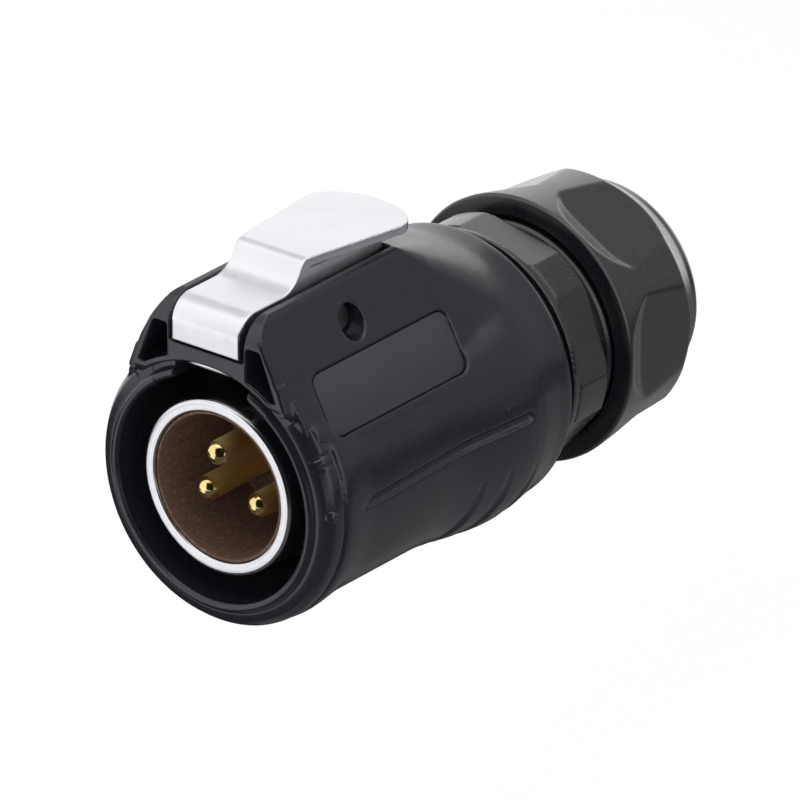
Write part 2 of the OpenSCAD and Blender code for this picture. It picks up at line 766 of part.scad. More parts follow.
// Hexagon with turned corners, rooted in the flange ahead of it
module gland_hex() {
    bevel = 0.4;
    root_y = gland_flange_y + gland_flange_t / 2;
    corner_r = hex_corner_d / 2;
    intersection() {
        translate([0, root_y, 0]) rotate([-90, 0, 0]) rotate([0, 0, -hex_turn])
            cylinder(h = tail_y - root_y, r = hex_af / sqrt(3), $fn = 6);
        turned() polygon([[0, root_y], [corner_r - bevel, root_y], [corner_r - bevel, hex_y],
            [corner_r, hex_y + bevel], [corner_r, tail_y - bevel], [corner_r - bevel, tail_y], [0, tail_y]]);
    }
}

// Gland body: spigot in the plug, flange, hexagon and threaded tail
module gland_body() {
    color(dark_plastic) difference() {
        union() {
            rod(spigot_r, spigot_y, hex_y + hex_len / 2);
            rod(hex_corner_d / 2, gland_flange_y, hex_y);
            gland_hex();
            rod(tail_r, hex_y + hex_len / 2, tail_stop);
        }
        rod(gland_bore_r, spigot_y - past, cage_seat_y + past);
        rod(cage_hole_r, cage_seat_y, tail_stop + past);
    }
}

// Seal ring between the body and the gland
module gland_seal_ring() {
    color(rubber) tube(spigot_r + seal_ring_w, spigot_r + seat_gap, seal_y, seal_y + seal_ring_t);
}

// Clamp cage with spring fingers
module clamp_cage() {
    color(dark_plastic) difference() {
        turned() polygon([[seal_r + seat_gap, cage_y], [cage_r, cage_y], [cage_r, cage_y + cage_base_t],
            [cage_r, tail_stop - cage_base_t], [cage_tip_r, cage_end], [seal_r + seat_gap, cage_end]]);
        for (i = [0 : cage_fingers - 1])
            rotate([0, i * 360 / cage_fingers, 0])
            translate([-finger_slot / 2, cage_y + cage_base_t, 0])
            cube([finger_slot, cage_end, cage_r + past]);
    }
}

// Rubber bush that seals on the cable
module cable_seal() {
    color(rubber) tube(seal_r, cable_d / 2, bush_y, bush_end);
}

// Outline of the nut's wall
module nut_outline() {
    cone_r = cage_tip_r + cage_cone_gap;
    polygon(concat(
        [[nut_hole_r, nut_y], [nut_r - nut_edge, nut_y], [nut_r, nut_y + nut_edge], [nut_ridge_r, nut_taper_y]],
        arc(nut_rim_r - nut_round, nut_back - nut_round, nut_round, 0, 90, 6),
        [[nut_open_d / 2, nut_back], [nut_open_d / 2, nut_cone_end], [cone_r, nut_cone_end],
            [nut_hole_r, nut_thread_end]]));
}

// Domed gland nut with six flats
module gland_nut() {
    ramp_y = nut_y + nut_edge;
    color(plastic) difference() {
        turned() nut_outline();
        for (i = [0 : 5]) rotate([0, i * 60, 0]) translate([0, 0, -nut_r]) linear_extrude(2 * nut_r)
            polygon([[nut_flat, nut_back + past], [nut_flat, ramp_y + nut_ramp], [nut_r, ramp_y],
                [nut_r + past, ramp_y], [nut_r + past, nut_back + past]]);
    }
}

plug_body();
shell_sleeve();
insulator_insert();
contact_pin(0, earth_setback);  // contact_pin_earth
contact_pin(1, live_setback);  // contact_pin_line
contact_pin(2, live_setback);  // contact_pin_neutral
terminal_screw(0);  // terminal_screw_earth
terminal_screw(1);  // terminal_screw_line
terminal_screw(2);  // terminal_screw_neutral
insulator_retainer();
mating_gasket();
flange_seal();
latch_lever();
latch_pin();
latch_spring();
gland_body();
gland_seal_ring();
clamp_cage();
cable_seal();
gland_nut();
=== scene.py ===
"""Dressed model of a cable-end power plug with a push latch.

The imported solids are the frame. The plastic and cast pieces are softened copies of them, with the small
roundings that a mould leaves, and the turned pieces are spun anew. The sub-assemblies' fields are in millimetres
and degrees, and the placed meshes and the studio in metres, in the plug's frame: +Y runs along the axis to the
cable end, and +Z is up to the latch.
"""

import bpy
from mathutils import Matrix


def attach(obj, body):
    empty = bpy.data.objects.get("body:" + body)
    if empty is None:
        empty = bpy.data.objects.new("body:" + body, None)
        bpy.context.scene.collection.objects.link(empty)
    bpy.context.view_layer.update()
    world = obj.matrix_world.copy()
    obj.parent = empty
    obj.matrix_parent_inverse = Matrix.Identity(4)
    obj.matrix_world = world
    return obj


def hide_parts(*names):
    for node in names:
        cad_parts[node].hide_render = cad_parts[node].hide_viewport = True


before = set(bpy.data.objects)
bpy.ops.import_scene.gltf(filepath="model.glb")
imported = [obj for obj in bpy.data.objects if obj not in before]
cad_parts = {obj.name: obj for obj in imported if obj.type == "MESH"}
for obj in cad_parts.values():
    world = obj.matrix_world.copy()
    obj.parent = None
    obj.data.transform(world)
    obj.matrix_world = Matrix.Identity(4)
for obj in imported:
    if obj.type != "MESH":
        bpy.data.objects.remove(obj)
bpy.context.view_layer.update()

import logging
import math
from collections.abc import Callable
from dataclasses import dataclass, field
from enum import Enum

import bmesh
import bpy
from mathutils import Matrix, Vector

LOG = logging.getLogger("plug")
MM = 0.001
RING_EDGE = 0.15
SMOOTHING = 0.5


class Body(Enum):
    """Bodies that the pieces ride on."""

    PLUG = "plug"
    LATCH = "latch"
    CLAMP = "clamp"
    NUT = "nut"


class Slot(Enum):
    """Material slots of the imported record."""

    BODY = "body_plastic"
    GLAND = "gland_plastic"
    SHELL = "plated_shell"
    LATCH = "cast_latch"
    INSULATOR = "insulator_plastic"
    GOLD = "gold_contact"
    RUBBER = "black_rubber"


class NodeTools:
    """Short forms for building shader node trees."""

    def __init__(self, tree: bpy.types.NodeTree) -> None:
        """Keeps the tree that nodes are added to."""
        self.tree = tree

    def add(self, kind: str, **values: object) -> bpy.types.Node:
        """Adds a node and sets its properties or inputs.

        Args:
            kind: Blender's name of the node type.
            values: Properties of the node, or inputs with spaces written as underscores.

        Returns:
            The new node.
        """
        node = self.tree.nodes.new(kind)
        for key, value in values.items():
            if hasattr(node, key):
                setattr(node, key, value)
            else:
                node.inputs[key.replace("_", " ")].default_value = value
        return node

    def link(self, source: bpy.types.NodeSocket, target: bpy.types.NodeSocket) -> None:
        """Joins an output to an input."""
        self.tree.links.new(source, target)

    def math(self, operation: str, first: object, second: object = 0.0) -> bpy.types.NodeSocket:
        """Adds a Math node.

        Args:
            operation: Blender's name of the operation.
            first: A number or an output socket.
            second: A number or an output socket.

        Returns:
            The node's output.
        """
        node = self.add("ShaderNodeMath", operation=operation)
        for index, value in enumerate((first, second)):
            if isinstance(value, bpy.types.NodeSocket):
                self.link(value, node.inputs[index])
            else:
                node.inputs[index].default_value = value
        return node.outputs[0]

    def spread(self, value: bpy.types.NodeSocket, low: float, high: float, start: float = 0.3,
               stop: float = 0.7) -> bpy.types.NodeSocket:
        """Maps a noise value to a range.

        Args:
            value: The noise output.
            low: Result at the start of the noise range.
            high: Result at its end.
            start: Noise value that gives low.
            stop: Noise value that gives high.

        Returns:
            The mapped output.
        """
        node = self.add("ShaderNodeMapRange")
        for key, number in (("From Min", start), ("From Max", stop), ("To Min", low), ("To Max", high)):
            node.inputs[key].default_value = number
        self.link(value, node.inputs["Value"])
        return node.outputs["Result"]

    def blend(self, factor: bpy.types.NodeSocket, first: object, second: object) -> bpy.types.NodeSocket:
        """Mixes two colours.

        Args:
            factor: Share of the second colour.
            first: A colour or an output socket.
            second: A colour or an output socket.

        Returns:
            The mixed colour.
        """
        node = self.add("ShaderNodeMix", data_type="RGBA")
        self.link(factor, node.inputs[0])
        for index, value in ((6, first), (7, second)):
            if isinstance(value, bpy.types.NodeSocket):
                self.link(value, node.inputs[index])
            else:
                node.inputs[index].default_value = value
        return node.outputs[2]


class Effects:
    """Shader node groups that several finishes share."""

    def __init__(self) -> None:
        """Builds the groups once."""
        self.surface_grain = self._surface_grain()

    @staticmethod
    def _surface_grain() -> bpy.types.NodeTree:
        """Fine grain with slow drift of tone and gloss.

        Returns:
            The group, with the outputs Fine, Drift and Scuff.
        """
        group = bpy.data.node_groups.new("surface_grain", "ShaderNodeTree")
        for name, value in (("Fine Scale", 9000.0), ("Drift Scale", 120.0), ("Scuff Scale", 900.0)):
            socket = group.interface.new_socket(name, in_out="INPUT", socket_type="NodeSocketFloat")
            socket.default_value = value
        for name in ("Fine", "Drift", "Scuff"):
            group.interface.new_socket(name, in_out="OUTPUT", socket_type="NodeSocketFloat")
        tools = NodeTools(group)
        entry = tools.add("NodeGroupInput")
        leave = tools.add("NodeGroupOutput")
        place = tools.add("ShaderNodeTexCoord")
        for name, detail, roughness in (("Fine", 3.0, 0.6), ("Drift", 4.0, 0.55), ("Scuff", 6.0, 0.7)):
            noise = tools.add("ShaderNodeTexNoise", Detail=detail, Roughness=roughness)
            tools.link(place.outputs["Object"], noise.inputs["Vector"])
            tools.link(entry.outputs[f"{name} Scale"], noise.inputs["Scale"])
            tools.link(noise.outputs["Fac"], leave.inputs[name])
        return group


@dataclass(frozen=True)
class Finish:
    """Surface finish that gives one Principled material.

    Attributes:
        name: Name of the material.
        colour: Linear colour of the surface.
        drift: Share by which the colour drifts over the piece.
        roughness: Middle of the roughness.
        spread: How far the roughness varies.
        metallic: 1 for metal, 0 for the rest.
        specular: Specular level of a finish that isn't metal.
        coat: Weight of the clear skin that a moulded face has.
        grain: Height of the fine grain in millimetres.
        fine_scale: Scale of the fine grain.
    """

    name: str
    colour: tuple[float, float, float]
    drift: float = 0.12
    roughness: float = 0.4
    spread: float = 0.06
    metallic: float = 0.0
    specular: float = 0.5
    coat: float = 0.0
    grain: float = 0.004
    fine_scale: float = 9000.0

    def build(self, effects: Effects) -> bpy.types.Material:
        """Makes the material.

        Args:
            effects: The shared node groups.

        Returns:
            The new material.
        """
        material = bpy.data.materials.new(self.name)
        material.use_nodes = True
        tree = material.node_tree
        tools = NodeTools(tree)
        shader = tree.nodes["Principled BSDF"]
        shader.inputs["Metallic"].default_value = self.metallic
        shader.inputs["Specular IOR Level"].default_value = self.specular
        shader.inputs["Coat Weight"].default_value = self.coat
        shader.inputs["Coat Roughness"].default_value = self.roughness
        grain = tools.add("ShaderNodeGroup", node_tree=effects.surface_grain)
        grain.inputs["Fine Scale"].default_value = self.fine_scale
        tools.link(self._colour(tools, grain), shader.inputs["Base Color"])
        tools.link(self._gloss(tools, grain), shader.inputs["Roughness"])
        bump = tools.add("ShaderNodeBump", Strength=1.0, Distance=self.grain * MM)
        tools.link(self._height(tools, grain), bump.inputs["Height"])
        tools.link(bump.outputs["Normal"], shader.inputs["Normal"])
        return material

    def _colour(self, tools: NodeTools, grain: bpy.types.Node) -> bpy.types.NodeSocket:
        """Colour that drifts slowly over the piece.

        Args:
            tools: The material's tree.
            grain: The placed grain group.

        Returns:
            The colour output.
        """
        dark = tuple(c * (1 - self.drift) for c in self.colour) + (1.0,)
        light = tuple(min(1.0, c * (1 + self.drift)) for c in self.colour) + (1.0,)
        return tools.blend(tools.spread(grain.outputs["Drift"], 0.0, 1.0), dark, light)

    def _gloss(self, tools: NodeTools, grain: bpy.types.Node) -> bpy.types.NodeSocket:
        """Roughness that varies in fine scuffs."""
        low, high = self.roughness - self.spread, self.roughness + self.spread
        return tools.spread(grain.outputs["Scuff"], low, high)

    def _height(self, tools: NodeTools, grain: bpy.types.Node) -> bpy.types.NodeSocket:
        """Height of the fine grain."""
        return grain.outputs["Fine"]


@dataclass(frozen=True)
class SpeckledFinish(Finish):
    """Filled plastic with lighter flecks in it.

    Attributes:
        fleck: Linear colour of the flecks.
        fleck_scale: Scale of the flecks.
    """

    fleck: tuple[float, float, float] = (0.10, 0.062, 0.034)
    fleck_scale: float = 2600.0

    def _colour(self, tools: NodeTools, grain: bpy.types.Node) -> bpy.types.NodeSocket:
        """Base colour with flecks.

        Args:
            tools: The material's tree.
            grain: The placed grain group.

        Returns:
            The colour output.
        """
        base = super()._colour(tools, grain)
        place = tools.add("ShaderNodeTexCoord")
        noise = tools.add("ShaderNodeTexNoise", Scale=self.fleck_scale, Detail=2.0, Roughness=0.7)
        tools.link(place.outputs["Object"], noise.inputs["Vector"])
        return tools.blend(tools.spread(noise.outputs["Fac"], 0.0, 1.0, 0.5, 0.72), base, self.fleck + (1.0,))


@dataclass(frozen=True)
class TurnedFinish(Finish):
    """Metal turned on a lathe, with fine rings round the plug's axis.

    Attributes:
        ring_scale: Rings for each metre.
        ring_tone: Share by which the rings darken the colour.
        flank: Added roughness of the walls beside the polished front.
    """

    ring_scale: float = 4200.0
    ring_tone: float = 0.0
    flank: float = 0.0

    def _colour(self, tools: NodeTools, grain: bpy.types.Node) -> bpy.types.NodeSocket:
        """Colour with faint rings.

        Args:
            tools: The material's tree.
            grain: The placed grain group.

        Returns:
            The colour output.
        """
        base = super()._colour(tools, grain)
        dark = tuple(c * (1 - self.ring_tone) for c in self.colour) + (1.0,)
        share = tools.math("MULTIPLY", tools.spread(self._rings(tools, 0.6), 0.0, 1.0, -0.2, 1.0),
                           tools.spread(grain.outputs["Scuff"], 0.4, 1.0))
        return tools.blend(share, base, dark)

    def _gloss(self, tools: NodeTools, grain: bpy.types.Node) -> bpy.types.NodeSocket:
        """Roughness of the polished front and of the walls beside it.

        Args:
            tools: The material's tree.
            grain: The placed grain group.

        Returns:
            The roughness output.
        """
        place = tools.add("ShaderNodeTexCoord")
        split = tools.add("ShaderNodeSeparateXYZ")
        tools.link(place.outputs["Normal"], split.inputs["Vector"])
        wall = tools.spread(split.outputs["Y"], 0.0, self.flank, -0.45, -0.1)
        return tools.math("ADD", super()._gloss(tools, grain), wall)

    def _height(self, tools: NodeTools, grain: bpy.types.Node) -> bpy.types.NodeSocket:
        """Height of the rings with some grain.

        Args:
            tools: The material's tree.
            grain: The placed grain group.

        Returns:
            The height output.
        """
        return tools.math("ADD", tools.math("MULTIPLY", self._rings(tools, 1.0), 0.3), grain.outputs["Fine"])

    def _rings(self, tools: NodeTools, pace: float) -> bpy.types.NodeSocket:
        """Wave that runs out from the axis and along it.

        Args:
            tools: The material's tree.
            pace: Share of the finish's ring count.

        Returns:
            The wave, from -1 to 1.
        """
        place = tools.add("ShaderNodeTexCoord")
        split = tools.add("ShaderNodeSeparateXYZ")
        tools.link(place.outputs["Object"], split.inputs["Vector"])
        square = tools.math("ADD", tools.math("POWER", split.outputs["X"], 2.0),
                            tools.math("POWER", split.outputs["Z"], 2.0))
        along = tools.math("ADD", tools.math("SQRT", square), split.outputs["Y"])
        return tools.math("SINE", tools.math("MULTIPLY", along, self.ring_scale * pace * math.tau))


@dataclass(frozen=True)
class Softening:
    """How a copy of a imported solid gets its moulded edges.

    Attributes:
        voxel: Cell of the remesh in millimetres.
        rounds: Rounds of smoothing after it.
        triangles: Most triangles that are kept.
    """

    voxel: float = 0.14
    rounds: int = 4
    triangles: int = 180000


class Workshop:
    """Makes the plug's pieces and gives them their finish."""

    def __init__(self, effects: Effects) -> None:
        """Keeps the shared groups, and starts with no finish built."""
        self.effects = effects
        self.built: dict[str, bpy.types.Material] = {}

    def material(self, finish: Finish) -> bpy.types.Material:
        """Gives the material of a finish, and builds it on first use."""
        if finish.name not in self.built:
            self.built[finish.name] = finish.build(self.effects)
        return self.built[finish.name]

    def dress(self, node: str, finish: Finish) -> None:
        """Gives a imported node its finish.

        Args:
            node: Name of the node.
            finish: Finish that it gets.
        """
        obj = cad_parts[node]
        obj.data.materials.clear()
        obj.data.materials.append(self.material(finish))

    def place(self, mesh: bpy.types.Mesh, name: str, body: Body, slot: Slot, finish: Finish,
              nodes: tuple[str, ...] = ()) -> bpy.types.Object:
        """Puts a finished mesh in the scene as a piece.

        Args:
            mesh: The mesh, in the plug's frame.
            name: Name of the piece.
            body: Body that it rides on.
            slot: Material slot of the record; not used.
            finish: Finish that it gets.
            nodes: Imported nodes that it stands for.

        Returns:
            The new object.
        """
        mesh.name = name
        mesh.materials.clear()
        mesh.materials.append(self.material(finish))
        mesh.polygons.foreach_set("material_index", [0] * len(mesh.polygons))
        obj = bpy.data.objects.new(name, mesh)
        bpy.context.scene.collection.objects.link(obj)
        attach(obj, body.value)
        if nodes:
            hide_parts(*nodes)
        LOG.info("%s: %d faces on %s", name, len(mesh.polygons), body.value)
        return obj

    def ring(self, node: str, radii: tuple[float, float], span: tuple[float, float], body: Body,
             finish: Finish) -> None:
        """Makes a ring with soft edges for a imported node.

        Args:
            node: Name of the node.
            radii: Inner and outer radius in millimetres.
            span: Its two ends along the axis in millimetres.
            body: Body that it rides on.
            finish: Finish that it gets.
        """
        inner, outer = radii[0] + RING_EDGE, radii[1] - RING_EDGE
        low, high = span[0] + RING_EDGE, span[1] - RING_EDGE
        profile = []
        for radius, y, start in ((inner, low, 180), (outer, low, 270), (outer, high, 0), (inner, high, 90)):
            profile += arc(radius, y, RING_EDGE, start, start + 90, 3)
        self.place(self.finished(self.spun(profile)), f"soft_{node}", body, Slot.RUBBER, finish, (node,))

    @staticmethod
    def softened(node: str, recipe: Softening, blocks: tuple[bpy.types.Mesh, ...] = ()) -> bpy.types.Mesh:
        """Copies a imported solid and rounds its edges.

        Args:
            node: Name of the node that is copied.
            recipe: How fine the copy is.
            blocks: Meshes in millimetres that are joined to the copy.

        Returns:
            The new mesh, in metres.
        """
        shape = bmesh.new()
        shape.from_mesh(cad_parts[node].data)
        bmesh.ops.remove_doubles(shape, verts=shape.verts, dist=1e-7)
        bmesh.ops.scale(shape, vec=(1 / MM,) * 3, verts=shape.verts)
        for block in blocks:
            shape.from_mesh(block)
        rough = bpy.data.meshes.new(node + "_rough")
        shape.to_mesh(rough)
        shape.free()
        helper = bpy.data.objects.new(node + "_rough", rough)
        bpy.context.scene.collection.objects.link(helper)
        remesh = helper.modifiers.new("cells", "REMESH")
        remesh.mode = "VOXEL"
        remesh.voxel_size = recipe.voxel
        remesh.use_smooth_shade = True
        smooth = helper.modifiers.new("edges", "SMOOTH")
        smooth.factor = SMOOTHING
        smooth.iterations = recipe.rounds
        mesh = Workshop._evaluated(helper)
        count = sum(len(p.vertices) - 2 for p in mesh.polygons)
        if count > recipe.triangles:
            thin = helper.modifiers.new("thin", "DECIMATE")
            thin.ratio = recipe.triangles / count
            bpy.data.meshes.remove(mesh)
            mesh = Workshop._evaluated(helper)
        bpy.data.objects.remove(helper)
        bpy.data.meshes.remove(rough)
        mesh.transform(Matrix.Scale(MM, 4))
        mesh.shade_smooth()
        return mesh

    @staticmethod
    def _evaluated(helper: bpy.types.Object) -> bpy.types.Mesh:
        """Gives a helper's mesh with its modifiers applied."""
        bpy.context.view_layer.update()
        graph = bpy.context.evaluated_depsgraph_get()
        return bpy.data.meshes.new_from_object(helper.evaluated_get(graph))

    @staticmethod
    def spun(profile: list[tuple[float, float]], closed: bool = True, steps: int = 128,
             gap: float = 0.0) -> bmesh.types.BMesh:
        """Spins a profile about the plug's axis.

        Args:
            profile: Points of [radius, y] in millimetres.
            closed: Whether the last point joins the first.
            steps: Steps of the spin.
            gap: Angle in radians that is left open about the top.

        Returns:
            The new shape, in millimetres.
        """
        shape = bmesh.new()
        turn = (math.pi - gap) / 2
        start = [shape.verts.new((radius * math.cos(turn), y, radius * math.sin(turn)))
                 for radius, y in profile]
        edges = [shape.edges.new(pair) for pair in zip(start, start[1:])]
        if closed:
            edges.append(shape.edges.new((start[-1], start[0])))
        bmesh.ops.spin(shape, geom=start + edges, cent=(0, 0, 0), axis=(0, 1, 0), angle=math.tau - gap,
                       steps=steps, use_merge=gap == 0)
        bmesh.ops.remove_doubles(shape, verts=shape.verts, dist=1e-4)
        if gap:
            bmesh.ops.holes_fill(shape, edges=[e for e in shape.edges if e.is_boundary], sides=0)
        bmesh.ops.recalc_face_normals(shape, faces=shape.faces)
        return shape

    @staticmethod
    def eased(mesh: bpy.types.Mesh, chosen: Callable[[bmesh.types.BMVert], bool], rounds: int) -> None:
        """Smooths some of a mesh's points.

        Args:
            mesh: The mesh, which is changed.
            chosen: Tells whether a point is smoothed.
            rounds: Rounds of smoothing.
        """
        shape = bmesh.new()
        shape.from_mesh(mesh)
        verts = [v for v in shape.verts if chosen(v)]
        for _ in range(rounds):
            bmesh.ops.smooth_vert(shape, verts=verts, factor=SMOOTHING, use_axis_x=True, use_axis_y=True,
                                  use_axis_z=True)
        shape.to_mesh(mesh)
        shape.free()
        mesh.shade_smooth()

    @staticmethod
    def finished(shape: bmesh.types.BMesh, crease: float = 35.0) -> bpy.types.Mesh:
        """Turns a shape in millimetres into a smooth mesh in metres.

        Args:
            shape: The shape, which is freed.
            crease: Angle in degrees past which an edge stays sharp.

        Returns:
            The new mesh.
        """
        bmesh.ops.scale(shape, vec=(MM,) * 3, verts=shape.verts)
        mesh = bpy.data.meshes.new("piece")
        shape.to_mesh(mesh)
        shape.free()
        mesh.shade_smooth()
        mesh.set_sharp_from_angle(angle=math.radians(crease))
        return mesh


def unit(value: float) -> float:
    """Holds a value between 0 and 1."""
    return max(0.0, min(1.0, value))


def arc(cx: float, cy: float, radius: float, start: float, stop: float,
        steps: int) -> list[tuple[float, float]]:
    """Points of an arc.

    Args:
        cx: First coordinate of the centre.
        cy: Second coordinate of the centre.
        radius: Radius of the arc.
        start: First angle in degrees.
        stop: Last angle in degrees.
        steps: Number of steps.

    Returns:
        The points, both ends among them.
    """
    angles = [math.radians(start + (stop - start) * i / steps) for i in range(steps + 1)]
    return [(cx + radius * math.cos(a), cy + radius * math.sin(a)) for a in angles]


CHARCOAL = Finish("moulded_charcoal", (0.0155, 0.0142, 0.0205), roughness=0.25, spread=0.04, specular=0.68,
                  grain=0.0006)
GLAND_CHARCOAL = Finish("gland_charcoal", (0.0095, 0.0088, 0.0125), roughness=0.27, spread=0.05, specular=0.5,
                        coat=1.0, grain=0.0008)
LABEL = Finish("bare_label", (0.052, 0.051, 0.059), roughness=0.5, spread=0.04, grain=0.003)
BRIGHT_PLATE = TurnedFinish("bright_plate", (0.84, 0.84, 0.86), drift=0.03, roughness=0.22, spread=0.05,
                            metallic=1.0, grain=0.0012, ring_tone=0.12)
SATIN_PLATE = Finish("satin_plate", (0.895, 0.89, 0.92), drift=0.03, roughness=0.34, spread=0.06,
                     metallic=1.0, grain=0.004, fine_scale=14000.0)
# Steel with a colour darker than bare steel: painted shade, so the latch pin's end reads dark deep in its pivot
# hole. The terminal screws get the same colour.
STEEL_WITH_PAINTED_SHADE = Finish("turned_steel_painted_shade", (0.30, 0.30, 0.31), drift=0.08, roughness=0.3, metallic=1.0, grain=0.002)
SPRING_WIRE = Finish("spring_wire", (0.36, 0.36, 0.37), drift=0.1, roughness=0.28, metallic=1.0, grain=0.002)
GOLD = TurnedFinish("gold_plate", (0.95, 0.75, 0.34), drift=0.05, roughness=0.13, spread=0.04, metallic=1.0,
                    grain=0.0008, flank=0.55)
INSULATOR = SpeckledFinish("speckled_insulator", (0.125, 0.072, 0.052), roughness=0.5, spread=0.08,
                           specular=0.3, grain=0.006, fleck=(0.22, 0.14, 0.10))
RUBBER = Finish("black_rubber", (0.014, 0.014, 0.015), roughness=0.68, specular=0.35, grain=0.008)


@dataclass
class MouldedBody:
    """Body of the plug with its latch tower.

    The collar is the body's front band, the rim is the crisp edge over it, and a foot carries a side panel
    forward to it. Angles of the collar and the rim are taken above the horizontal.
    """

    skin: Softening = Softening(voxel=0.14, rounds=4, triangles=190000)
    lean: float = 28.5
    panel: float = 14.0
    label_front: float = 3.2
    label_len: float = 20.4
    label_low: float = 0.68
    label_h: float = 6.6
    label_round: float = 1.3
    label_gap: float = 0.14
    label_sink: float = 0.3
    label_reveal: float = 0.09
    label_lift: float = 0.01
    label_edge: float = 0.06
    tail_span: tuple[float, float] = (24.2, 35.6)
    tail_low: float = 3.0
    tail_depth: float = 12.6
    tail_rounds: int = 40
    collar_in: float = 11.9
    collar_out: float = 14.3
    collar_front: float = 0.8
    collar_back: float = 2.4
    collar_fade: float = 0.4
    collar_ramp: float = 0.6
    collar_turn: float = 33.0
    collar_clear: float = 0.1
    collar_rounds: int = 8
    edge_y: float = 2.2
    edge_angle: float = 35.4
    edge_slope: float = 0.244
    ragged_radii: tuple[float, float] = (13.2, 14.95)
    ragged_angle: float = 52.0
    ragged_turn: float = 30.0
    ragged_fronts: tuple[float, float] = (1.7, -1.3)
    ragged_back: float = 3.0
    foot_outline: tuple[tuple[float, float, float], ...] = (
        (1.7, 2.3, 0.3), (4.7, -0.8, 0.35), (4.8, -1.4, 0.4), (7.6, -1.45, 0.0), (7.6, 2.6, 0.0),
        (1.7, 2.6, 0.3))
    foot_depth: float = 0.9
    rim_in: float = 11.46
    bead_r: float = 0.47
    bead_y: float = -0.58
    rim_gap: float = 70.0
    rim_climb: float = 36.0
    rim_fade: float = 8.0
    rim_sink: float = 0.3
    rim_front: float = -0.45
    rim_clear: float = 0.2
    groove_r: float = 12.7
    notch_in: float = 13.4
    notch_angles: tuple[float, float] = (28.4, 24.0)
    notch_w: float = 1.2
    notch_depth: float = 0.2
    knob: tuple[float, float, float] = (13.6, 0.45, 0.85)
    knob_r: float = 0.75

    def build(self, shop: Workshop) -> None:
        """Makes the body, its rim and the bare plates in its label recesses."""
        skin = shop.softened("plug_body", self.skin, (self._foot(1.0), self._foot(-1.0)))
        self._ease_tail(shop, skin)
        self._sink_collar(skin)
        shop.eased(skin, self._ragged, self.collar_rounds)
        shop.place(skin, "moulded_body", Body.PLUG, Slot.BODY, CHARCOAL, ("plug_body",))
        self._rim(shop)
        for name, side in (("right", 1.0), ("left", -1.0)):
            self._label(shop, name, side)

    def _ease_tail(self, shop: Workshop, skin: bpy.types.Mesh) -> None:
        """Smooths the slope behind the tower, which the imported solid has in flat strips.

        Args:
            shop: Smooths the mesh.
            skin: The body's mesh, in metres.
        """
        front, back = (y * MM for y in self.tail_span)
        low, depth = self.tail_low * MM, self.tail_depth * MM
        shop.eased(skin, lambda v: front < v.co.y < back and v.co.z > low
                   and math.hypot(v.co.x, v.co.z) > depth, self.tail_rounds)

    @staticmethod
    def _polar(vert: bpy.types.MeshVertex | bmesh.types.BMVert) -> tuple[float, float, float]:
        """Gives a point's radius, its angle above the horizontal and its place along the axis."""
        x, y, z = (c / MM for c in vert.co)
        return math.hypot(x, z), math.degrees(math.atan2(z, abs(x))), y

    def _sink_collar(self, skin: bpy.types.Mesh) -> None:
        """Sinks the front collar a little, to make room for the crisp rim over it.

        Args:
            skin: The body's mesh, in metres.
        """
        last = self.rim_climb + self.rim_fade
        for vert in skin.vertices:
            radius, angle, y = self._polar(vert)
            if radius < self.rim_in or y > self.collar_back or angle > last:
                continue
            past_edge = y > self._collar_edge(angle) - self.collar_clear
            if angle > self.collar_turn and (radius > self.collar_out or past_edge):
                continue
            fade = unit((last - angle) / self.rim_fade) * unit((self.collar_back - y) / self.collar_fade)
            fade *= self.rim_sink
            vert.co.y += MM * fade * unit((self.collar_front - y) / self.collar_ramp)
            shrink = 1 - fade * unit((radius - self.collar_in) / self.collar_ramp) / radius
            vert.co.x *= shrink
            vert.co.z *= shrink

    def _ragged(self, vert: bmesh.types.BMVert) -> bool:
        """Tells whether a point lies in the band behind the collar that is smoothed."""
        radius, angle, y = self._polar(vert)
        front = self.ragged_fronts[0 if angle < self.ragged_turn else 1]
        inner, outer = self.ragged_radii
        return inner < radius < outer and angle < self.ragged_angle and front < y < self.ragged_back

    def _collar_edge(self, angle: float) -> float:
        """Gives where the collar ends along the axis, which moves forward as it climbs to the tower.

        Args:
            angle: Angle above the horizontal in degrees.

        Returns:
            The place in millimetres.
        """
        return self.edge_y - self.edge_slope * (angle - self.edge_angle)

    def _foot(self, side: float) -> bpy.types.Mesh:
        """Makes a block that carries one side panel forward to the collar's edge.

        Args:
            side: 1 for the right panel, -1 for the left one.

        Returns:
            The block, in millimetres.
        """
        lean = math.radians(self.lean)
        out, up = (math.cos(lean), math.sin(lean)), (-math.sin(lean), math.cos(lean))
        shape = bmesh.new()
        corners = []
        for rise, y, ease in self.foot_outline:
            reach = self.panel - ease
            x, z = reach * out[0] + rise * up[0], reach * out[1] + rise * up[1]
            corners.append(shape.verts.new((side * x, y, z)))
        grown = bmesh.ops.extrude_face_region(shape, geom=[shape.faces.new(corners)])["geom"]
        inward = Vector((-side * out[0], 0, -out[1])) * self.foot_depth
        moved = [v for v in grown if isinstance(v, bmesh.types.BMVert)]
        bmesh.ops.translate(shape, vec=inward, verts=moved)
        bmesh.ops.recalc_face_normals(shape, faces=shape.faces)
        block = bpy.data.meshes.new("panel_foot")
        shape.to_mesh(block)
        shape.free()
        return block

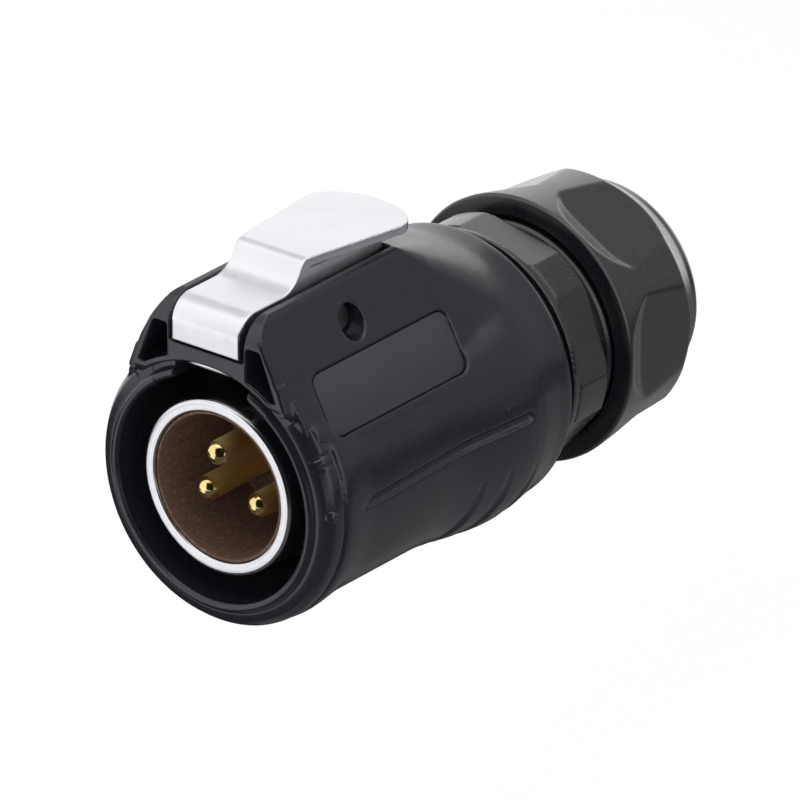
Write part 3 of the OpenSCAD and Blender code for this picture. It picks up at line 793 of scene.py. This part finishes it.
    def _rim(self, shop: Workshop) -> None:
        """Makes the rim of the mouth: a bead, a groove, the collar's shoulder, two notches and a knob."""
        profile = arc(self.rim_in + self.bead_r, self.bead_y, self.bead_r, 180, 330, 12)
        profile += [(12.46, -0.6), (12.55, -0.52), (12.68, -0.53), (12.95, -0.46), (13.25, -0.38)]
        profile += [(13.45, -0.3), (13.56, -0.22), (13.65, -0.11), (13.8, 0.1), (13.95, 0.31)]
        profile += [(14.08, 0.5), (14.16, 0.68), (14.2, 0.9), (14.22, 1.15), (14.22, 1.4), (14.22, 1.62)]
        profile += [(14.17, 1.76), (14.05, 1.84), (13.6, 1.86), (self.rim_in, 1.5), (self.rim_in, 0.5)]
        shape = shop.spun(profile, steps=480, gap=math.radians(self.rim_gap))
        for vert in shape.verts:
            radius = math.hypot(vert.co.x, vert.co.z)
            if radius < self.groove_r:
                continue
            climb = math.degrees(math.asin(vert.co.z / radius))
            if climb > self.collar_turn:
                edge = self._collar_edge(climb) - self.rim_clear
                vert.co.y = min(vert.co.y, max(self.rim_front, edge))
            if radius > self.notch_in:
                self._notch(vert, radius)
        bmesh.ops.create_uvsphere(shape, u_segments=24, v_segments=16, radius=self.knob_r,
                                  matrix=Matrix.Translation(self.knob))
        shop.place(shop.finished(shape), "mouth_rim", Body.PLUG, Slot.BODY, CHARCOAL)

    def _notch(self, vert: bmesh.types.BMVert, radius: float) -> None:
        """Moves a point of the rim in where a notch crosses it.

        Args:
            vert: The point, in millimetres.
            radius: Its distance from the axis.
        """
        angle = math.degrees(math.atan2(vert.co.z, vert.co.x))
        sink = sum(self.notch_depth * max(0.0, 1 - ((angle - notch) / self.notch_w) ** 2)
                   for notch in self.notch_angles)
        vert.co.x *= 1 - sink / radius
        vert.co.z *= 1 - sink / radius

    def _label(self, shop: Workshop, name: str, side: float) -> None:
        """Lays a bare plate in the recess of one side panel.

        Args:
            shop: Makes the piece.
            name: Name of the side.
            side: 1 for the side at +X, -1 for the other.
        """
        corner = self.label_round - self.label_gap
        length = self.label_len / 2 - self.label_gap - corner
        height = self.label_h / 2 - self.label_gap - corner
        shape = bmesh.new()
        ring = []
        for u, v, start in ((1, 1, 0), (-1, 1, 90), (-1, -1, 180), (1, -1, 270)):
            ring += [shape.verts.new((0.0, a, b))
                     for a, b in arc(u * length, v * height, corner, start, start + 90, 8)]
        base = shape.faces.new(ring)
        made = bmesh.ops.extrude_face_region(shape, geom=[base])
        top = [v for v in made["geom"] if isinstance(v, bmesh.types.BMVert)]
        bmesh.ops.translate(shape, vec=(self.label_sink - self.label_reveal, 0, 0), verts=top)
        rim = [e for e in shape.edges if all(v in top for v in e.verts)]
        bmesh.ops.bevel(shape, geom=rim, offset=self.label_edge, segments=2, profile=0.5, affect="EDGES",
                        material=-1)
        bmesh.ops.recalc_face_normals(shape, faces=shape.faces)
        lean = math.radians(self.lean)
        turn = Matrix.Rotation(-lean, 4, "Y")
        middle = Vector((self.panel * math.cos(lean), self.label_front + self.label_len / 2,
                         self.panel * math.sin(lean)))
        rise = turn @ Vector((-self.label_sink + self.label_lift, 0.0, self.label_low + self.label_h / 2))
        bmesh.ops.transform(shape, matrix=Matrix.Translation(middle + rise) @ turn, verts=shape.verts)
        if side < 0:
            bmesh.ops.scale(shape, vec=(-1, 1, 1), verts=shape.verts)
            bmesh.ops.reverse_faces(shape, faces=shape.faces)
        shop.place(shop.finished(shape), f"bare_label_{name}", Body.PLUG, Slot.BODY, LABEL)


@dataclass
class ContactFace:
    """Metal shell, insulating cup and the three contacts.

    A contact is given by its name, its angle on the contact circle and its tip's distance from the shell's edge.
    """

    shell_r: float = 9.0
    shell_in_r: float = 7.7
    outer_round: float = 0.45
    inner_round: float = 0.25
    straight_y: float = 6.0
    land_r: float = 9.3
    land_y: float = 11.6
    shell_end: float = 17.8
    flange_r: float = 10.3
    flange_end: float = 19.2
    key_w: float = 4.4
    key_depth: float = 0.5
    key_wall: float = 0.2
    key_y: float = 2.2
    key_end: float = 10.6
    contacts: tuple[tuple[str, float, float], ...] = (
        ("earth", 90, -0.7), ("line", 330, 1.6), ("neutral", 210, 1.6))
    pin_r: float = 1.25
    circle_r: float = 3.6
    shoulder_r: float = 1.65
    shoulder_y: float = 10.6
    barrel_r: float = 2.2
    barrel_y: float = 19.25
    barrel_edge: float = 0.2
    wire_r: float = 1.4
    wire_depth: float = 8.0
    terminal_end: float = 30.2
    flare_r: float = 7.66
    flare_y: float = 3.0
    flare_share: float = 0.92
    rim_lift: float = 0.5
    cup: Softening = Softening(voxel=0.15, rounds=3, triangles=90000)
    gasket_radii: tuple[float, float] = (9.35, 11.45)
    gasket_span: tuple[float, float] = (11.6, 13.0)
    seal_radii: tuple[float, float] = (9.35, 10.3)
    seal_span: tuple[float, float] = (17.0, 17.8)

    def build(self, shop: Workshop) -> None:
        """Makes the shell and what is inside it."""
        for name, angle, setback in self.contacts:
            self._contact(shop, name, math.radians(angle), setback)
            shop.dress(f"terminal_screw_{name}", STEEL_WITH_PAINTED_SHADE)
        self._shell(shop)
        self._cup(shop)
        shop.dress("insulator_retainer", GLAND_CHARCOAL)
        shop.ring("mating_gasket", self.gasket_radii, self.gasket_span, Body.PLUG, RUBBER)
        shop.ring("flange_seal", self.seal_radii, self.seal_span, Body.PLUG, RUBBER)

    def _cup(self, shop: Workshop) -> None:
        """Makes the insulator, with a rim that flares out to the shell."""
        mesh = shop.softened("insulator_insert", self.cup)
        for vert in mesh.vertices:
            radius = math.hypot(vert.co.x, vert.co.z)
            t = (self.flare_y * MM - vert.co.y) / (self.flare_y * MM)
            vert.co.y -= self.rim_lift * MM * max(t, 0.0) ** 2
            if t > 0 and self.flare_r * MM > radius > 0.0:
                grown = radius + (self.flare_r * MM - radius) * t * t * self.flare_share
                vert.co.x *= grown / radius
                vert.co.z *= grown / radius
        shop.place(mesh, "speckled_cup", Body.PLUG, Slot.INSULATOR, INSULATOR, ("insulator_insert",))

    def _shell(self, shop: Workshop) -> None:
        """Spins the shell, with a rounded front edge and its key groove."""
        near, far = self.inner_round, self.outer_round
        shape = shop.spun(
            [(self.shell_in_r, self.flange_end), (self.shell_in_r, self.straight_y)]
            + arc(self.shell_in_r + near, near, near, 180, 270, 5)
            + arc(self.shell_r - far, far, far, 270, 360, 10)
            + [(self.shell_r, self.straight_y), (self.shell_r, self.land_y), (self.land_r, self.land_y),
               (self.land_r, self.shell_end), (self.flange_r, self.shell_end),
               (self.flange_r, self.flange_end)],
            steps=160)
        floor, side = self.shell_r - self.key_depth, self.key_w / 2
        lane = [f for f in shape.faces
                if abs(f.calc_center_median().x) < side and f.calc_center_median().z > floor]
        bmesh.ops.subdivide_edges(shape, edges=list({e for f in lane for e in f.edges}), cuts=3,
                                  use_grid_fill=True)
        wall = self.shell_in_r + self.key_wall
        for vert in shape.verts:
            inside = abs(vert.co.x) < side and self.key_y < vert.co.y < self.key_end
            if inside and floor < vert.co.z and math.hypot(vert.co.x, vert.co.z) > wall:
                vert.co.z = floor
        shop.place(shop.finished(shape), "plated_shell", Body.PLUG, Slot.SHELL, BRIGHT_PLATE,
                   ("shell_sleeve",))

    def _contact(self, shop: Workshop, name: str, angle: float, setback: float) -> None:
        """Spins one contact pin with a round tip and a terminal barrel.

        Args:
            shop: Makes the piece.
            name: Which contact it is.
            angle: Its place on the contact circle in radians.
            setback: Distance of its tip from the shell's edge in millimetres.
        """
        rear, bottom = self.terminal_end, self.terminal_end - self.wire_depth
        shape = shop.spun(
            arc(0.0, setback + self.pin_r, self.pin_r, 270, 360, 14)
            + [(self.pin_r, self.shoulder_y), (self.shoulder_r, self.shoulder_y),
               (self.shoulder_r, self.barrel_y), (self.barrel_r, self.barrel_y),
               (self.barrel_r, rear - self.barrel_edge), (self.barrel_r - self.barrel_edge, rear),
               (self.wire_r, rear), (self.wire_r, bottom), (0.0, bottom)],
            closed=False, steps=48)
        aside = (self.circle_r * math.cos(angle), 0, self.circle_r * math.sin(angle))
        bmesh.ops.translate(shape, vec=aside, verts=shape.verts)
        shop.place(shop.finished(shape), f"gold_pin_{name}", Body.PLUG, Slot.GOLD, GOLD,
                   (f"contact_pin_{name}",))


@dataclass
class LatchMechanism:
    """Latch lever with its pin and spring."""

    cast: Softening = Softening(voxel=0.11, rounds=6, triangles=150000)

    def build(self, shop: Workshop) -> None:
        """Makes the lever and dresses its pin and spring."""
        lever = shop.softened("latch_lever", self.cast)
        shop.place(lever, "cast_latch_lever", Body.LATCH, Slot.LATCH, SATIN_PLATE, ("latch_lever",))
        shop.dress("latch_pin", STEEL_WITH_PAINTED_SHADE)
        shop.dress("latch_spring", SPRING_WIRE)


@dataclass
class CableGland:
    """Gland body, clamp and nut."""

    cast: Softening = Softening(voxel=0.13, rounds=5, triangles=150000)
    fingers: Softening = Softening(voxel=0.15, rounds=3, triangles=60000)
    tail_y: float = 44.65
    tail_end: float = 54.15
    tail_r: float = 11.2
    pitch: float = 1.5
    thread_start: float = 0.4
    thread_spare: float = 1.2
    thread_steps: int = 96
    ridge_outline: tuple[tuple[float, float], ...] = ((-0.1, -0.45), (0.24, -0.12), (0.24, 0.12), (-0.1, 0.45))
    nut_y: float = 46.6
    nut_back: float = 61.9
    nut_r: float = 13.85
    nut_edge: float = 0.3
    ridge_r: float = 13.0
    flat: float = 12.3
    ramp: float = 2.9
    ramp_blend: float = 0.25
    bow: float = 0.9
    bow_share: float = 0.40
    bow_limit: float = 1.2
    bow_power: int = 5
    taper_y: float = 57.0
    rim_r: float = 10.855
    rim_round: float = 1.6
    hole_r: float = 11.5
    hole_edge: float = 0.3
    press_r: float = 11.81
    thread_end: float = 55.35
    cone_end: float = 59.5
    cone_r: float = 8.4
    open_r: float = 6.5
    open_round: float = 0.4
    edge_blend: float = 0.15
    ring_radii: tuple[float, float] = (10.6, 12.35)
    ring_span: tuple[float, float] = (37.65, 38.95)
    bush_radii: tuple[float, float] = (5.0, 7.4)
    bush_span: tuple[float, float] = (48.35, 58.0)

    def build(self, shop: Workshop) -> None:
        """Makes the gland's pieces from the body to the cable end."""
        gland = shop.softened("gland_body", self.cast)
        shop.place(gland, "moulded_gland", Body.PLUG, Slot.GLAND, GLAND_CHARCOAL, ("gland_body",))
        self._thread(shop)
        self._nut(shop)
        shop.ring("gland_seal_ring", self.ring_radii, self.ring_span, Body.PLUG, RUBBER)
        cage = shop.softened("clamp_cage", self.fingers)
        shop.place(cage, "moulded_cage", Body.CLAMP, Slot.GLAND, GLAND_CHARCOAL, ("clamp_cage",))
        shop.ring("cable_seal", self.bush_radii, self.bush_span, Body.CLAMP, RUBBER)

    def _thread(self, shop: Workshop) -> None:
        """Winds the thread's ridge round the gland's tail."""
        turns = int((self.tail_end - self.tail_y - self.thread_spare) / self.pitch)
        steps = self.thread_steps * turns
        shape = bmesh.new()
        start = [shape.verts.new((self.tail_r + up, self.tail_y + self.thread_start + along, 0.0))
                 for up, along in self.ridge_outline]
        edges = [shape.edges.new(pair) for pair in zip(start, start[1:] + start[:1])]
        ends = [shape.faces.new(start)]
        bmesh.ops.spin(shape, geom=start + edges + ends, cent=(0, 0, 0), axis=(0, 1, 0),
                       dvec=(0, self.pitch * turns / steps, 0), angle=math.tau * turns, steps=steps)
        bmesh.ops.recalc_face_normals(shape, faces=shape.faces)
        shop.place(shop.finished(shape, 25.0), "gland_thread", Body.PLUG, Slot.GLAND, GLAND_CHARCOAL)

    def _nut(self, shop: Workshop) -> None:
        """Spins the nut's barrel and presses the six flats into it."""
        front, taper_end = self.nut_y + self.nut_edge, self.nut_back - self.rim_round
        outer = arc(self.nut_r - self.nut_edge, front, self.nut_edge, 270, 360, 4)
        outer += self._line((self.nut_r, front), (self.ridge_r, self.taper_y), 44)
        outer += self._line((self.ridge_r, self.taper_y), (self.rim_r, taper_end), 22)
        outer += arc(self.rim_r - self.rim_round, taper_end, self.rim_round, 0, 90, 10)[1:]
        mouth = self.open_r + self.open_round
        inner = [(mouth, self.nut_back)]
        inner += arc(mouth, self.nut_back - self.open_round, self.open_round, 90, 180, 4)
        inner += [(self.open_r, self.cone_end), (self.cone_r, self.cone_end), (self.hole_r, self.thread_end),
                  (self.hole_r, self.nut_y + self.hole_edge), (self.hole_r + self.hole_edge, self.nut_y)]
        shape = shop.spun(outer + inner, steps=432)
        for vert in shape.verts:
            self._press(vert, front)
        bmesh.ops.recalc_face_normals(shape, faces=shape.faces)
        shop.place(shop.finished(shape), "domed_nut", Body.NUT, Slot.GLAND, GLAND_CHARCOAL, ("gland_nut",))

    @staticmethod
    def _line(start: tuple[float, float], stop: tuple[float, float], steps: int) -> list[tuple[float, float]]:
        """Points of a straight line, without the first.

        Args:
            start: First end.
            stop: Last end.
            steps: Number of steps.

        Returns:
            The points up to the last end.
        """
        return [(start[0] + (stop[0] - start[0]) * i / steps, start[1] + (stop[1] - start[1]) * i / steps)
                for i in range(1, steps + 1)]

    def _press(self, vert: bmesh.types.BMVert, front: float) -> None:
        """Moves a point of the barrel in to the nearest flat, with a soft edge.

        Args:
            vert: The point, in millimetres.
            front: Where the flats' ramps begin along the axis.
        """
        radius = math.hypot(vert.co.x, vert.co.z)
        if radius < self.press_r:
            return
        angle = math.atan2(vert.co.z, vert.co.x)
        turn = angle - round(angle / (math.pi / 3)) * math.pi / 3
        aside = abs(radius * math.sin(turn)) / (self.ridge_r * self.bow_share)
        t = (vert.co.y - front - self.bow * min(aside, self.bow_limit) ** self.bow_power) / self.ramp
        ramp = self._soft_least(0.0, -(self.nut_r - self.flat) * (1 - t), self.ramp_blend)
        limit = (self.flat - ramp) / math.cos(turn)
        pressed = self._soft_least(radius, limit, self.edge_blend)
        vert.co.x *= pressed / radius
        vert.co.z *= pressed / radius

    @staticmethod
    def _soft_least(first: float, second: float, blend: float) -> float:
        """Lesser of two values, with a round passage between them."""
        share = unit(0.5 + 0.5 * (second - first) / blend)
        return second + (first - second) * share - blend * share * (1 - share)


@dataclass
class Studio:
    """Camera, lights, floor and backdrop.

    Attributes:
        aim: Point on the camera's axis in millimetres.
        right: Way to the right of the picture.
        up: Way to its top.
        distance: Distance of the camera from the aim in millimetres.
        lens: Focal length on a 36 mm sensor.
        floor_z: Height of the floor in millimetres.
        floor_glow: Light that lifts the floor to white.
        flag_z: Height of the low flags in metres.
        lamp_aim: Point that the soft boxes face, in metres.
    """

    aim: Vector = field(default_factory=lambda: Vector((11.45, 13.67, 7.59)))
    right: Vector = field(default_factory=lambda: Vector((0.7816, 0.6237, 0.0)))
    up: Vector = field(default_factory=lambda: Vector((-0.2633, 0.3299, 0.9065)))
    distance: float = 1381.5
    lens: float = 653.4
    floor_z: float = -75.0
    floor_glow: float = 0.3
    flag_z: float = -0.045
    lamp_aim: Vector = field(default_factory=lambda: Vector((0.0, 0.025, 0.0)))

    @property
    def back(self) -> Vector:
        """Way from the plug to the camera."""
        return self.right.cross(self.up).normalized()

    def build(self) -> None:
        """Sets up the whole studio."""
        self._camera()
        self._world()
        self._floor()
        self._lights()
        bpy.context.scene.view_settings.view_transform = "Standard"

    def _camera(self) -> None:
        """Puts the camera at the photograph's angle."""
        data = bpy.data.cameras.new("camera")
        data.lens = self.lens
        data.sensor_width = 36.0
        data.clip_end = 20.0
        camera = bpy.data.objects.new("camera", data)
        place = (self.aim + self.back * self.distance) * MM
        turn = Matrix((self.right.normalized(), self.up.normalized(), self.back)).transposed()
        camera.matrix_world = Matrix.Translation(place) @ turn.to_4x4()
        bpy.context.scene.collection.objects.link(camera)
        bpy.context.scene.camera = camera

    def _world(self) -> None:
        """Makes a white backdrop, with plainer light on the object."""
        world = bpy.data.worlds.new("backdrop")
        world.use_nodes = True
        bpy.context.scene.world = world
        tools = NodeTools(world.node_tree)
        world.node_tree.nodes.clear()
        ray = tools.add("ShaderNodeLightPath")
        seen = tools.math("MAXIMUM", ray.outputs["Is Camera Ray"], ray.outputs["Is Glossy Ray"])
        seen = tools.math("MAXIMUM", seen, ray.outputs["Is Transmission Ray"])
        light = tools.add("ShaderNodeBackground", Color=(0.97, 0.96, 1.0, 1.0), Strength=0.55)
        white = tools.add("ShaderNodeBackground", Color=(1.0, 1.0, 1.0, 1.0), Strength=1.0)
        mix = tools.add("ShaderNodeMixShader")
        tools.link(seen, mix.inputs[0])
        tools.link(light.outputs[0], mix.inputs[1])
        tools.link(white.outputs[0], mix.inputs[2])
        out = tools.add("ShaderNodeOutputWorld")
        tools.link(mix.outputs[0], out.inputs["Surface"])

    def _sheet(self, name: str, centre: Vector, toward: Vector, size: tuple[float, float],
               tone: float) -> bpy.types.Object:
        """Sets up a flat sheet that isn't part of the plug.

        Args:
            name: Name of the sheet.
            centre: Its middle in metres.
            toward: Way that it faces.
            size: Its width and height in metres.
            tone: Its grey.

        Returns:
            The new object.
        """
        shape = bmesh.new()
        bmesh.ops.create_grid(shape, x_segments=1, y_segments=1, size=0.5)
        bmesh.ops.scale(shape, vec=(size[0], size[1], 1.0), verts=shape.verts)
        turn = toward.to_track_quat("Z", "Y").to_matrix()
        bmesh.ops.rotate(shape, cent=(0, 0, 0), matrix=turn, verts=shape.verts)
        bmesh.ops.translate(shape, vec=centre, verts=shape.verts)
        mesh = bpy.data.meshes.new(name)
        shape.to_mesh(mesh)
        shape.free()
        material = bpy.data.materials.new(name)
        material.use_nodes = True
        shader = material.node_tree.nodes["Principled BSDF"]
        shader.inputs["Base Color"].default_value = (tone, tone, tone, 1.0)
        shader.inputs["Roughness"].default_value = 0.9
        shader.inputs["Specular IOR Level"].default_value = 0.1
        mesh.materials.append(material)
        obj = bpy.data.objects.new(name, mesh)
        bpy.context.scene.collection.objects.link(obj)
        return obj

    def _whiten(self, material: bpy.types.Material) -> None:
        """Lifts the floor to white for the camera and in reflections, with its shadows kept.

        Args:
            material: The floor's material.
        """
        tools = NodeTools(material.node_tree)
        shader = material.node_tree.nodes["Principled BSDF"]
        ray = tools.add("ShaderNodeLightPath")
        seen = tools.math("MAXIMUM", ray.outputs["Is Camera Ray"], ray.outputs["Is Glossy Ray"])
        shader.inputs["Emission Color"].default_value = (1.0, 1.0, 1.0, 1.0)
        tools.link(tools.math("MULTIPLY", seen, self.floor_glow), shader.inputs["Emission Strength"])

    def _floor(self) -> None:
        """Lays the pale floor, and sets up the dark flags that only reflections see."""
        sky = Vector((0, 0, 1))
        floor = self._sheet("floor", Vector((0.0, 0.03, self.floor_z * MM)), sky, (12.0, 12.0), 0.92)
        self._whiten(floor.data.materials[0])
        flags = [(f"low_{name}", Vector((x, y, self.flag_z)), sky, size, tone) for name, x, y, size, tone in (
            ("lip", -0.17, -0.025, (0.16, 0.15), 0.03),
            ("step", -0.051, -0.0125, (0.078, 0.065), 0.03),
            ("left", -0.041, 0.11, (0.058, 0.18), 0.05),
            ("front", 0.144, -0.08, (0.312, 0.16), 0.1),
            ("near", 0.06, 0.11, (0.144, 0.22), 0.34),
            ("mid", 0.066, 0.41, (0.132, 0.38), 0.2),
            ("far", 0.682, 0.6, (1.1, 1.2), 0.08),
        )]
        side, rear = Vector((0.66, 0.72, 0.20)), Vector((0.131, 0.743, 0.49))
        flags += [
            ("side", side, -side, (1.2, 0.72), 0.56),
            ("back", rear, -rear, (0.73, 0.66), 0.55),
            ("lens", self.back * 0.02, -self.back, (0.033, 0.033), 0.02),
            ("strip", Vector((-0.34, 0.14, 0.50)), Vector((0.565, -0.2, -0.79)), (0.42, 0.9), 0.72),
        ]
        for name, centre, toward, size, tone in flags:
            flag = self._sheet(f"{name}_flag", centre, toward, size, tone)
            flag.visible_camera = False
            flag.visible_shadow = False
            flag.visible_diffuse = False

    def _lights(self) -> None:
        """Hangs the soft boxes."""
        for name, place, size, power in (
            ("top_box", (-0.15, 0.05, 0.75), 0.6, 1.6),
            ("front_box", (0.35, -0.7, 0.45), 0.5, 0.8),
            ("left_box", (-0.55, -0.75, -0.02), 0.5, 2.5),
        ):
            data = bpy.data.lights.new(name, "AREA")
            data.shape = "DISK"
            data.size = size
            data.energy = power
            lamp = bpy.data.objects.new(name, data)
            lamp.location = place
            aim = self.lamp_aim - Vector(place)
            lamp.rotation_euler = aim.to_track_quat("-Z", "Y").to_euler()
            lamp.visible_glossy = name == "top_box"
            bpy.context.scene.collection.objects.link(lamp)


def main() -> None:
    """Builds the plug and the studio."""
    logging.basicConfig(level=logging.INFO, format="%(name)s %(message)s")
    shop = Workshop(Effects())
    for part in (MouldedBody(), ContactFace(), LatchMechanism(), CableGland()):
        part.build(shop)
    Studio().build()


if __name__ == "__main__":
    main()
